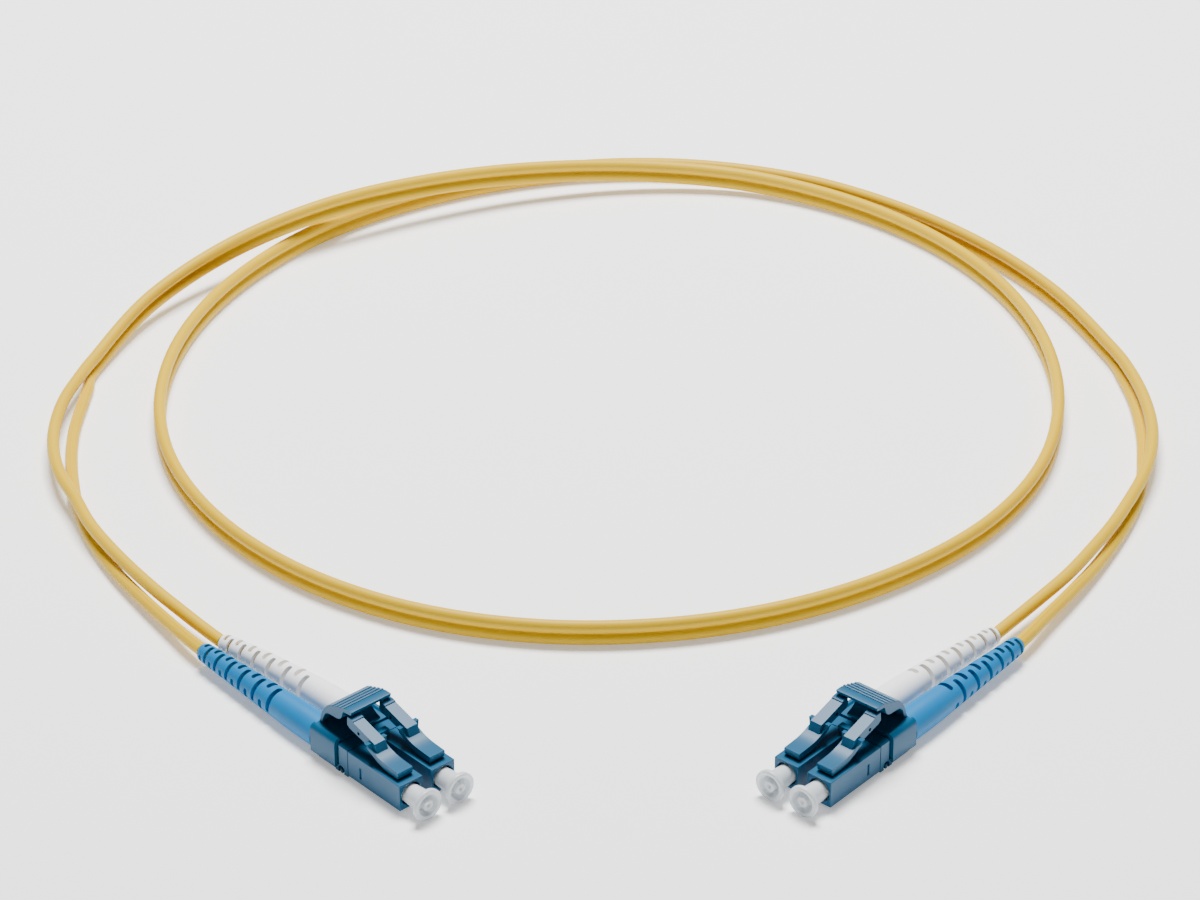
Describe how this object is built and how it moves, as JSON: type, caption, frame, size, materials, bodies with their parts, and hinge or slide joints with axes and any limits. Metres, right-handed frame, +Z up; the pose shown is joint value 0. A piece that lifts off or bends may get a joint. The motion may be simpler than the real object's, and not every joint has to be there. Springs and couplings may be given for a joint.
{
  "type": "fiber optic patch cord",
  "caption": "Duplex yellow fibre optic patch cord lying in a loose loop, a latched two-plug connector with slotted boots and dust caps at each end.",
  "frame": {"origin": "on the floor, midway between the two connectors (centre of the box of everything but the cord, at its base)", "axes": "+X from the left connector to the right one, +Y back along the loop, +Z up"},
  "size_m": [0.188, 0.2055, 0.0109],
  "materials": {
    "teal_plastic": "moulded, satin",
    "blue_boot": "soft moulded, satin",
    "white_boot": "soft moulded, satin",
    "yellow_jacket": "extruded, satin",
    "milky_cap": "translucent, moulded",
    "zirconia": "polished",
    "nickel_plate": "plated",
    "spring_steel": "drawn wire",
    "fibre_buffer": "extruded"
  },
  "bodies": {
    "root": {"duplex_cord": "yellow_jacket", "left_duplex_clip": "teal_plastic", "left_blue_plug_body": "teal_plastic", "left_blue_spring": "spring_steel", "left_blue_rear_post": "nickel_plate", "left_blue_crimp_sleeve": "nickel_plate", "left_blue_fibre": "fibre_buffer", "left_blue_jacket_end": "yellow_jacket", "left_blue_boot": "blue_boot", "left_blue_leg": "yellow_jacket", "left_white_plug_body": "teal_plastic", "left_white_spring": "spring_steel", "left_white_rear_post": "nickel_plate", "left_white_crimp_sleeve": "nickel_plate", "left_white_fibre": "fibre_buffer", "left_white_jacket_end": "yellow_jacket", "left_white_boot": "white_boot", "left_white_leg": "yellow_jacket", "right_duplex_clip": "teal_plastic", "right_blue_plug_body": "teal_plastic", "right_blue_spring": "spring_steel", "right_blue_rear_post": "nickel_plate", "right_blue_crimp_sleeve": "nickel_plate", "right_blue_fibre": "fibre_buffer", "right_blue_jacket_end": "yellow_jacket", "right_blue_boot": "blue_boot", "right_blue_leg": "yellow_jacket", "right_white_plug_body": "teal_plastic", "right_white_spring": "spring_steel", "right_white_rear_post": "nickel_plate", "right_white_crimp_sleeve": "nickel_plate", "right_white_fibre": "fibre_buffer", "right_white_jacket_end": "yellow_jacket", "right_white_boot": "white_boot", "right_white_leg": "yellow_jacket"},
    "left_trigger": {"left_trigger": "teal_plastic"},
    "left_blue_latch": {"left_blue_latch": "teal_plastic"},
    "left_blue_ferrule": {"left_blue_ferrule": "zirconia", "left_blue_ferrule_holder": "nickel_plate"},
    "left_blue_dust_cap": {"left_blue_dust_cap": "milky_cap"},
    "left_white_latch": {"left_white_latch": "teal_plastic"},
    "left_white_ferrule": {"left_white_ferrule": "zirconia", "left_white_ferrule_holder": "nickel_plate"},
    "left_white_dust_cap": {"left_white_dust_cap": "milky_cap"},
    "right_trigger": {"right_trigger": "teal_plastic"},
    "right_blue_latch": {"right_blue_latch": "teal_plastic"},
    "right_blue_ferrule": {"right_blue_ferrule": "zirconia", "right_blue_ferrule_holder": "nickel_plate"},
    "right_blue_dust_cap": {"right_blue_dust_cap": "milky_cap"},
    "right_white_latch": {"right_white_latch": "teal_plastic"},
    "right_white_ferrule": {"right_white_ferrule": "zirconia", "right_white_ferrule_holder": "nickel_plate"},
    "right_white_dust_cap": {"right_white_dust_cap": "milky_cap"}
  },
  "joints": [
    {"name": "left_trigger_press", "type": "hinge", "parent": "root", "child": "left_trigger", "pos_m": [-0.04151, -0.00185, 0.00574], "axis": [0.7536, 0.6574, 0], "range_deg": [0, 10], "stiffness_Nm_per_rad": 0.0004},
    {"name": "left_blue_latch_flex", "type": "hinge", "parent": "root", "child": "left_blue_latch", "pos_m": [-0.0319, -0.01762, 0.00561], "axis": [-0.7536, -0.6574, 0], "range_deg": [0, 7], "stiffness_Nm_per_rad": 0.0003},
    {"name": "left_blue_ferrule_push", "type": "slide", "parent": "root", "child": "left_blue_ferrule", "axis": [-0.6574, 0.7536, 0], "range_m": [0, 0.0006], "stiffness_N_per_m": 2500, "deforming": ["left_blue_spring"]},
    {"name": "left_blue_cap_pull", "type": "slide", "parent": "root", "child": "left_blue_dust_cap", "axis": [0.6574, -0.7536, 0], "range_m": [0, 0.015]},
    {"name": "left_white_latch_flex", "type": "hinge", "parent": "root", "child": "left_white_latch", "pos_m": [-0.02719, -0.01352, 0.00561], "axis": [-0.7536, -0.6574, 0], "range_deg": [0, 7], "stiffness_Nm_per_rad": 0.0003},
    {"name": "left_white_ferrule_push", "type": "slide", "parent": "root", "child": "left_white_ferrule", "axis": [-0.6574, 0.7536, 0], "range_m": [0, 0.0006], "stiffness_N_per_m": 2500, "deforming": ["left_white_spring"]},
    {"name": "left_white_cap_pull", "type": "slide", "parent": "root", "child": "left_white_dust_cap", "axis": [0.6574, -0.7536, 0], "range_m": [0, 0.015]},
    {"name": "right_trigger_press", "type": "hinge", "parent": "root", "child": "right_trigger", "pos_m": [0.04151, -0.00185, 0.00574], "axis": [0.7536, -0.6574, 0], "range_deg": [0, 10], "stiffness_Nm_per_rad": 0.0004},
    {"name": "right_blue_latch_flex", "type": "hinge", "parent": "root", "child": "right_blue_latch", "pos_m": [0.0319, -0.01762, 0.00561], "axis": [-0.7536, 0.6574, 0], "range_deg": [0, 7], "stiffness_Nm_per_rad": 0.0003},
    {"name": "right_blue_ferrule_push", "type": "slide", "parent": "root", "child": "right_blue_ferrule", "axis": [0.6574, 0.7536, 0], "range_m": [0, 0.0006], "stiffness_N_per_m": 2500, "deforming": ["right_blue_spring"]},
    {"name": "right_blue_cap_pull", "type": "slide", "parent": "root", "child": "right_blue_dust_cap", "axis": [-0.6574, -0.7536, 0], "range_m": [0, 0.015]},
    {"name": "right_white_latch_flex", "type": "hinge", "parent": "root", "child": "right_white_latch", "pos_m": [0.02719, -0.01352, 0.00561], "axis": [-0.7536, 0.6574, 0], "range_deg": [0, 7], "stiffness_Nm_per_rad": 0.0003},
    {"name": "right_white_ferrule_push", "type": "slide", "parent": "root", "child": "right_white_ferrule", "axis": [0.6574, 0.7536, 0], "range_m": [0, 0.0006], "stiffness_N_per_m": 2500, "deforming": ["right_white_spring"]},
    {"name": "right_white_cap_pull", "type": "slide", "parent": "root", "child": "right_white_dust_cap", "axis": [-0.6574, -0.7536, 0], "range_m": [0, 0.015]}
  ],
  "couplings": [
    {"joint": "left_blue_latch_flex", "follows": "left_trigger_press", "ratio": 0.7},
    {"joint": "left_white_latch_flex", "follows": "left_trigger_press", "ratio": 0.7},
    {"joint": "right_blue_latch_flex", "follows": "right_trigger_press", "ratio": 0.7},
    {"joint": "right_white_latch_flex", "follows": "right_trigger_press", "ratio": 0.7}
  ]
}
